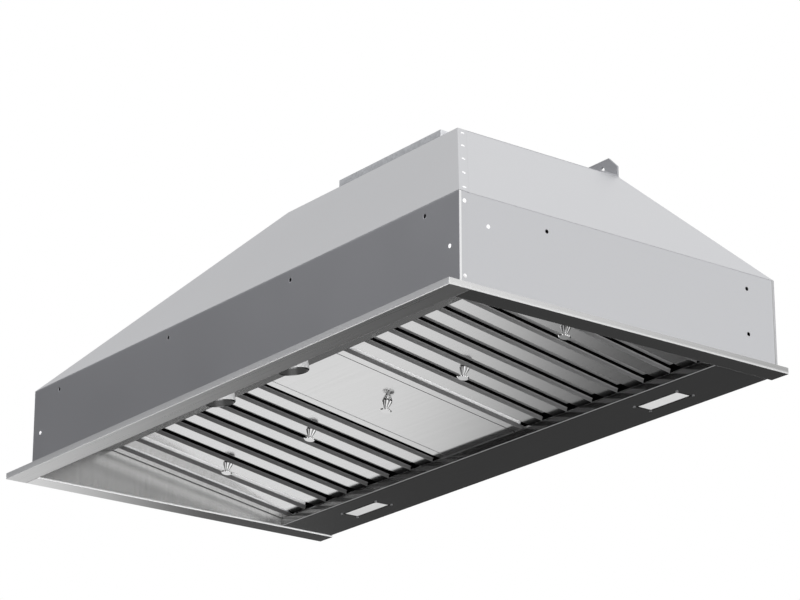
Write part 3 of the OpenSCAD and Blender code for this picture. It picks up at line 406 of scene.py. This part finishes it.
# Colours and finishes, by the key that the lists below use
M = {
    # The front band is the shell's steel darkened as painted shade
    "front_band": satin("shell_front_band_painted_shade", (0.545, 0.551, 0.585), 0.40, edge=0.0018),
    "shell": satin("shell_steel", (0.675, 0.68, 0.70), 0.42, edge=0.0014),
    "side_band": satin("side_band_steel", (0.675, 0.68, 0.70), 0.42, edge=0.0014,
                       lines_at=([(1, JOINT_Y, JOINT_HALF)], 0.34)),
    # A painted highlight runs along the flange's outer edge
    "flange": brushed("flange_steel", (0.69, 0.69, 0.69), "X", 0.28, 0.05, 650, edge=0.002,
                      lines_at=([(1, LIP_Y, 0.0018)], 0.60)),
    "flange_side": brushed("flange_side_steel", (0.68, 0.68, 0.68), "Y", 0.10),
    # The lip's lower edge carries a painted highlight
    "lip": satin("flange_lip_steel", (0.71, 0.715, 0.73), 0.38, 0.8, edge=0.004,
                 edge_top=0.005, lines_at=([(2, 0.0, 0.0009)], 0.60)),
    # Painted light fading towards the rear, and painted highlights along the lower bend, the front
    # corner and the seam
    "side_lip": brushed("side_lip_steel", (0.75, 0.75, 0.75), "Y", 0.25, 0.05, 650,
                        to=(1, -0.30, 0.30, 0.60),
                        lines_at=([(2, 0.0, 0.0040), (1, LIP_Y, 0.0026),
                                   (1, SEAM_Y, 0.0013)], 0.60)),
    # The rolled hem is near white as a painted highlight
    "rolled_hem": satin("rolled_hem_painted_highlight", (0.98, 0.98, 0.98), 0.3, 0.0, edge=0),
    "tab": tab_with_fold_highlight("band_tab_steel", (0.675, 0.68, 0.70), 0.42, FOLD_Y, FOLD_W),
    # With a strip of painted shade over the filters' underside
    "liner": brushed("liner_steel", (0.68, 0.68, 0.675), "Z", 0.26, 0.09, 650, metallic=0.78,
                     over=(*SLOPE, FACE_H)),
    # Rear panel steel, with painted shade round the lights' openings
    "panel": panel_with_recess_shade("panel_steel", (0.60, 0.60, 0.605), 0.10, 0.03, LIGHTS, LIGHT_HALF,
                          RECESS_SHADE_W),
    # The rear lip is the panel's steel darkened as painted shade
    "rear_lip": brushed("rear_lip_painted_shade", (0.38, 0.38, 0.38), "X", 0.12),
    "trough": brushed("trough_steel", (0.58, 0.58, 0.585), "X", 0.14),
    "control": brushed("control_steel", (0.53, 0.53, 0.53), "X", 0.10, 0.03, 650),
    "filter": brushed("filter_steel", (0.80, 0.80, 0.80), "X", 0.13, 0.03, 650),
    # With painted shade towards the flats' rear ends
    "filter_face": brushed("filter_face_steel", (0.80, 0.80, 0.80), "X", 0.13, 0.022, 650,
                           end=(*SLOPE, 0.002, 0.026)),
    # Lit and shaded copies of the filters' steel. The baffles' and rails' sides and hems are dark
    # as painted shade, with painted light growing towards +X. The insides and back baffles are
    # near black as painted shade, the back baffles' undersides dark grey. The channels where light
    # falls in are near white as painted light.
    "leg": brushed("baffle_side_painted_shade", (0.12, 0.12, 0.12), "Y", 0.4, 0.10, 900, strength=0.05,
                   metallic=0.0, edge=0, to=(0, -0.50, 0.50, 2.1)),
    "rail_leg": brushed("rail_side_painted_shade", (0.105, 0.105, 0.105), "Y", 0.4, 0.08, 900,
                        strength=0.05, metallic=0.0, edge=0, to=(0, -0.50, 0.20, 1.5)),
    "hem": brushed("baffle_hem_painted_shade", (0.15, 0.15, 0.15), "Y", 0.4, 0.04, metallic=0.0, edge=0,
                   to=(0, -0.50, 0.50, 2.1)),
    "inside": brushed("filter_inside_painted_shade", (0.003, 0.003, 0.003), "Y", 0.6, 0.1, metallic=0.0,
                      edge=0, gloss=0.0),
    "back": brushed("back_baffle_steel", (0.003, 0.003, 0.003), "Y", 0.6, 0.1, metallic=0.0,
                    edge=0, gloss=0.0),
    "back_under": brushed("back_baffle_underside_painted_shade", (0.24, 0.24, 0.24), "Y", 0.5, 0.1,
                          metallic=0.0, edge=0),
    "lit": brushed("channel_painted_light", (0.97, 0.97, 0.97), "Y", 0.5, 0.03, metallic=0.0, edge=0),
    "galvanised": spangled("galvanised_sheet", (0.50, 0.51, 0.53)),
    # The collar's sides are a lighter copy of the sheet, as painted light
    "galvanised_side": spangled("galvanised_side_painted_light", (0.80, 0.81, 0.83)),
    "bracket": satin("bracket_steel", (0.51, 0.515, 0.54), 0.5),
    "chrome": chrome_with_painted_reflections("chrome", (0.99, 0.99, 0.99)),
    "knob": satin("knob_metal", (0.98, 0.98, 0.98), 0.25, 0.0, edge=0),
    "rivet": satin("rivet_bright", (0.99, 0.99, 0.99), 0.45, 0.0, edge=0),
    "screw": satin("screw_steel", (0.80, 0.81, 0.82), 0.3),
    "light_screw": satin("light_screw_steel", (0.42, 0.42, 0.43), 0.35),
    "lens": plastic("light_lens", (0.86, 0.86, 0.85), 0.35, 0.3),
    "can": satin("light_can", (0.5, 0.51, 0.53), 0.35),
    "board": plastic("led_board", (0.82, 0.8, 0.7), 0.4),
    "driver": plastic("driver_case", (0.72, 0.73, 0.74), 0.5),
    "switch": plastic("switch_plastic", (0.03, 0.031, 0.034), 0.4),
    "brass": satin("brass", (0.72, 0.5, 0.2), 0.25),
    "wheel": satin("wheel_steel", (0.42, 0.43, 0.45), 0.4),
    "motor": satin("motor_paint", (0.05, 0.052, 0.057), 0.4, 0.2),
    "shaft": polished("shaft_steel", (0.7, 0.71, 0.73), 0.15),
}

LOOK = {
    "front_band": ["front_band"],
    "side_band": ["left_band", "right_band"],
    "shell": ["canopy_front", "canopy_left", "canopy_right", "rear_wall", "top_plate"],
    "flange": ["front_flange"],
    "flange_side": ["left_flange", "right_flange"],
    "liner": ["left_liner_wall", "right_liner_wall"],
    "panel": ["rear_light_panel"],
    "trough": ["grease_trough"],
    "control": ["control_panel"],
    "filter": ["left_filter_frame", "right_filter_frame", "centre_panel"],
    "filter_face": ["left_filter_face_baffles", "right_filter_face_baffles"],
    "back": ["left_filter_back_baffles", "right_filter_back_baffles"],
    "galvanised": ["duct_collar", "damper_ring", "blower_housing", "inlet_rings", "junction_box",
                   "junction_box_cover", "front_damper_flap", "rear_damper_flap"],
    "bracket": ["left_hanging_bracket", "right_hanging_bracket", "motor_bracket",
                "filter_catches"],
    "chrome": ["left_filter_pulls", "right_filter_pulls", "centre_panel_pull"],
    "knob": ["fan_knob", "light_knob"],
    "rivet": ["band_rivets", "canopy_rivets"],
    "screw": ["damper_pins", "top_screws"],
    "light_screw": ["light_screws"],
    "lens": ["left_light_lens", "right_light_lens"],
    "can": ["left_light_housing", "right_light_housing", "run_capacitor"],
    "board": ["left_led_board", "right_led_board"],
    "driver": ["led_driver"],
    "switch": ["fan_switch", "light_dimmer"],
    "brass": ["fan_knob_shaft", "light_knob_shaft"],
    "wheel": ["blower_wheel"],
    "motor": ["motor"],
    "shaft": ["wheel_shaft"],
}

for key, names in LOOK.items():
    for name in names:
        mesh = nodes[name].data
        mesh.materials.clear()
        mesh.materials.append(M[key])


def finish_faces(name, key, test):
    """Gives the faces of a node that pass the test a finish of their own."""
    mesh = nodes[name].data
    slot = mesh.materials.find(M[key].name)
    if slot < 0:
        mesh.materials.append(M[key])
        slot = len(mesh.materials) - 1
    for face in mesh.polygons:
        if test(face.center, face.normal):
            face.material_index = slot


def height(c):
    """How high a point lies over the filters' underside."""
    return (c.y - PIVOT_Y) * math.sin(TILT) + (c.z - PIVOT_Z) * math.cos(TILT) - FACE_H


def upward(n):
    """How much a face looks up from the filters' slope: from -1 for down to 1 for up."""
    return n.y * math.sin(TILT) + n.z * math.cos(TILT)


# A face looks along a direction where this much of its normal lies in it
FACING = 0.9
# Heights over the filters' underside: two just inside it, the baffles' turned ends, the back
# baffles' undersides
IN_SKIN, OVER_SKIN, HEM_H, BACK_H = 0.0002, 0.0004, 0.005, 0.012
# Width past the rail at each filter's left side where light falls into the gaps
LIT_W = 0.02
# Two faces lie in one plane where they are closer than this
CLOSE = 0.0001

# Inside the filters and the centre panel, faces get the painted shade and painted light finishes
for side, middle in (("left", -FILTER_X), ("right", FILTER_X)):
    face_node = side + "_filter_face_baffles"
    frame_node = side + "_filter_frame"
    back_node = side + "_filter_back_baffles"
    lit = -FILTER_HALF + RAIL_W + (LIT_W if side == "right" else LIT_W + PITCH)
    finish_faces(face_node, "inside", lambda c, n: height(c) > OVER_SKIN)
    finish_faces(face_node, "lit", lambda c, n: height(c) > OVER_SKIN and c.x - middle < lit)
    finish_faces(face_node, "leg", lambda c, n: n.x > FACING and height(c) > IN_SKIN)
    finish_faces(face_node, "hem", lambda c, n: upward(n) < -FACING and height(c) > HEM_H)
    finish_faces(frame_node, "inside", lambda c, n: height(c) > OVER_SKIN
                 and abs(c.x - middle) < FILTER_HALF - CLOSE)
    finish_faces(frame_node, "lit", lambda c, n: height(c) > OVER_SKIN
                 and -FILTER_HALF + CLOSE < c.x - middle < lit)
    finish_faces(frame_node, "rail_leg", lambda c, n: abs(n.x) > FACING
                 and abs(abs(c.x - middle) - FILTER_HALF + RAIL_W) < 2 * CLOSE)
    finish_faces(back_node, "back_under",
                 lambda c, n: upward(n) < -FACING and height(c) > BACK_H)
    finish_faces(back_node, "lit", lambda c, n: c.x - middle < lit)
    for name in (face_node, frame_node, back_node):
        finish_faces(name, "filter", lambda c, n: upward(n) > FACING)
finish_faces("centre_panel", "inside", lambda c, n: height(c) > OVER_SKIN and n.x > -FACING)
finish_faces("centre_panel", "filter", lambda c, n: upward(n) > FACING)

# The flange's outer lip, and its rolled inner edge in a painted highlight
LIP_T = 0.001
HEM_ROUND = 0.3
finish_faces("front_flange", "lip", lambda c, n: n.y < -FACING and c.y < LIP_Y + LIP_T)
for name in ("front_flange", "left_flange", "right_flange"):
    finish_faces(name, "side_lip", lambda c, n: abs(n.x) > FACING and abs(c.x) > LIP_X - LIP_T)
for name in ("left_flange", "right_flange"):
    finish_faces(name, "rolled_hem", lambda c, n: abs(c.x) < HEM_X and abs(n.x) > HEM_ROUND
                 and c.z < HEM_TOP)

# The rear lip's front in painted shade, the collar's sides in painted light, and the tabs at the
# front corners with their painted fold highlights
REAR_LIP_Y, COLLAR_X, TAB_X = 0.2095, 0.13, 0.5
finish_faces("rear_light_panel", "rear_lip", lambda c, n: n.y < -FACING and c.y < REAR_LIP_Y)
finish_faces("duct_collar", "galvanised_side",
             lambda c, n: abs(n.x) > FACING and abs(c.x) > COLLAR_X)
finish_faces("front_band", "tab", lambda c, n: abs(n.x) > FACING and abs(c.x) > TAB_X)

# The knobs' faces with their chamfers are turned and carry a painted reflection, their sides
# bright
CONTROL_TILT = math.radians(7.9756)
KNOB_FACING = 0.6
KNOB_DARK, KNOB_SHEEN = 0.035, 0.45
for name in ("fan_knob", "light_knob"):
    lo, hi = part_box(name)
    M[name + "_face"] = spun_face(name + "_face", ((lo[0] + hi[0]) / 2, (lo[1] + hi[1]) / 2),
                                  KNOB_DARK, KNOB_SHEEN)
    finish_faces(name, name + "_face", lambda c, n: n.y * math.sin(CONTROL_TILT)
                 - n.z * math.cos(CONTROL_TILT) > KNOB_FACING)

# Round forms are shaded smooth, with their edges kept sharp
SHARP_FROM = math.radians(28)
for name in nodes:
    nodes[name].data.shade_smooth()
    nodes[name].data.set_sharp_from_angle(angle=SHARP_FROM)


# World: studio surroundings in the reflections, even light, white behind the object

# Brightness that steel reflects between the cards, and the light on dull surfaces
STUDIO = 0.185
EVEN_LIGHT = (0.62, 0.62, 0.63)


def build_world():
    world = bpy.data.worlds.new("studio")
    bpy.context.scene.world = world
    world.use_nodes = True
    ns, ls = world.node_tree.nodes, world.node_tree.links
    ns.clear()
    looks = parts_of(ns, ls, "Generated")
    flat = ns.new("ShaderNodeCombineXYZ")
    ls.new(looks[0], flat.inputs[0])
    ls.new(looks[1], flat.inputs[1])
    unit = ns.new("ShaderNodeVectorMath")
    unit.operation = "NORMALIZE"
    ls.new(flat.outputs[0], unit.inputs[0])

    def sector(azimuth, half, soft):
        d = ns.new("ShaderNodeVectorMath")
        d.operation = "DOT_PRODUCT"
        ls.new(unit.outputs[0], d.inputs[0])
        a = math.radians(azimuth)
        d.inputs[1].default_value = (math.cos(a), math.sin(a), 0)
        lo = math.cos(math.radians(half + soft))
        hi = math.cos(math.radians(max(half - soft, 0)))
        return map_range(ns, ls, d.outputs["Value"], lo, hi, smooth=True)

    def above(elevation, soft):
        return map_range(ns, ls, looks[2], math.sin(math.radians(elevation - soft)),
                         math.sin(math.radians(elevation + soft)), smooth=True)

    def inverse(a):
        return math_node(ns, ls, "SUBTRACT", 1.0, a)

    def under(elevation, soft):
        return inverse(above(elevation, soft))

    def both(a, b):
        return math_node(ns, ls, "MULTIPLY", a, b)

    # Cards that the steel reflects, each painted over those before it: brightness and place.
    # Sectors are azimuth, half width and soft edge; heights are elevation and soft edge.
    cards = (
        (0.92, sector(20, 62, 14)),
        (0.95, sector(285, 38, 6)),
        (0.04, sector(284, 7, 2)),
        (0.10, sector(352, 8, 2)),
        (0.03, both(sector(35, 20, 6), both(above(-18, 3), under(-4, 3)))),
        (0.02, both(sector(222, 30, 5), under(0, 4))),
        (0.055, both(sector(116, 30, 4), under(-12.5, 2))),
        (0.82, both(sector(170, 22.6, 2.6), under(-22, 3))),
        (1.0, both(sector(170, 21.4, 2.6), above(-22, 3))),
        (0.8, both(sector(190, 22, 4), under(-31, 3))),
        (0.95, above(29, 6)),
        (0.66, both(above(29, 6), sector(176, 26, 8))),
    )
    start = ns.new("ShaderNodeValue")
    start.outputs[0].default_value = STUDIO
    v = start.outputs[0]
    for bright, mask in cards:
        v = weighted_sum(ns, ls, v, inverse(mask), mask, bright)
    tone = ns.new("ShaderNodeCombineColor")
    for i in range(3):
        ls.new(v, tone.inputs[i])

    path = ns.new("ShaderNodeLightPath")
    body = mix(ns, ls, path.outputs["Is Glossy Ray"], EVEN_LIGHT, tone.outputs[0])
    shown = mix(ns, ls, path.outputs["Is Camera Ray"], body, (1.0, 1.0, 1.0))
    bg = ns.new("ShaderNodeBackground")
    ls.new(shown, bg.inputs["Color"])
    out = ns.new("ShaderNodeOutputWorld")
    ls.new(bg.outputs[0], out.inputs["Surface"])


# Floor: a pale disc far under the object, its radius, height and corners
FLOOR_R, FLOOR_Z, FLOOR_CORNERS = 14.0, -1.8, 64
FLOOR_TONE = (0.86, 0.86, 0.86)
# How far the floor goes over into the white behind the object
FLOOR_GLOW = 0.7


def build_floor():
    mesh = bpy.data.meshes.new("floor")
    turns = [2 * math.pi * i / FLOOR_CORNERS for i in range(FLOOR_CORNERS)]
    mesh.from_pydata([(FLOOR_R * math.cos(a), FLOOR_R * math.sin(a), FLOOR_Z) for a in turns],
                     [], [tuple(range(FLOOR_CORNERS))])
    floor = bpy.data.objects.new("floor", mesh)
    bpy.context.scene.collection.objects.link(floor)
    mat, ns, ls = new_material("floor_paint")

    def mix_shader(share, a, b):
        m = ns.new("ShaderNodeMixShader")
        for i, value in enumerate((share, a, b)):
            ls.new(value, m.inputs[i])
        return m.outputs[0]

    paint = ns.new("ShaderNodeBsdfDiffuse")
    feed(ls, FLOOR_TONE, paint.inputs["Color"])
    glow = ns.new("ShaderNodeEmission")
    feed(ls, (1.0, 1.0, 1.0), glow.inputs["Color"])
    path = ns.new("ShaderNodeLightPath")
    top = mix_shader(math_node(ns, ls, "MULTIPLY", path.outputs["Is Camera Ray"], FLOOR_GLOW),
                     paint.outputs[0], glow.outputs[0])
    # From underneath the floor is clear, so that the object's underside can be looked at
    side = ns.new("ShaderNodeNewGeometry")
    clear = ns.new("ShaderNodeBsdfTransparent")
    out = ns.new("ShaderNodeOutputMaterial")
    ls.new(mix_shader(side.outputs["Backfacing"], top, clear.outputs[0]), out.inputs["Surface"])
    mesh.materials.append(mat)
    floor.visible_glossy = False


# Lamps: name, place, the point they shine at, diameter and watts
LAMPS = (
    ("key", (3.4, 0.6, 2.6), (0, 0, 0.2), 2.2, 70),
    ("top", (-0.6, -1.6, 3.4), (0, 0, 0.3), 2.6, 60),
    ("low", (1.6, -2.2, -1.5), (0, 0, 0), 2.0, 62),
)


def area(name, place, aim, size, watts):
    """A round lamp that steel does not mirror."""
    data = bpy.data.lights.new(name, "AREA")
    data.shape = "DISK"
    data.size = size
    data.energy = watts
    o = bpy.data.objects.new(name, data)
    bpy.context.scene.collection.objects.link(o)
    o.location = place
    o.rotation_euler = (Vector(aim) - Vector(place)).to_track_quat("-Z", "Y").to_euler()
    o.visible_glossy = False


# The camera of the photo: lens, place and turn, fitted to the object's straight edges
CAMERA_SENSOR, CAMERA_LENS, CAMERA_FAR = 36.0, 135.656, 100.0
CAMERA_PLACE = (3.600765, -2.717379, -1.415265)
CAMERA_TURN = (0.51534206, 0.7340341, 0.36223505, 0.25377603)


def build_camera():
    data = bpy.data.cameras.new("camera")
    data.sensor_width = CAMERA_SENSOR
    data.lens = CAMERA_LENS
    data.clip_end = CAMERA_FAR
    cam = bpy.data.objects.new("camera", data)
    bpy.context.scene.collection.objects.link(cam)
    cam.location = CAMERA_PLACE
    cam.rotation_mode = "QUATERNION"
    cam.rotation_quaternion = CAMERA_TURN
    bpy.context.scene.camera = cam


build_world()
build_floor()
for lamp in LAMPS:
    area(*lamp)
build_camera()
bpy.context.scene.view_settings.view_transform = "Standard"
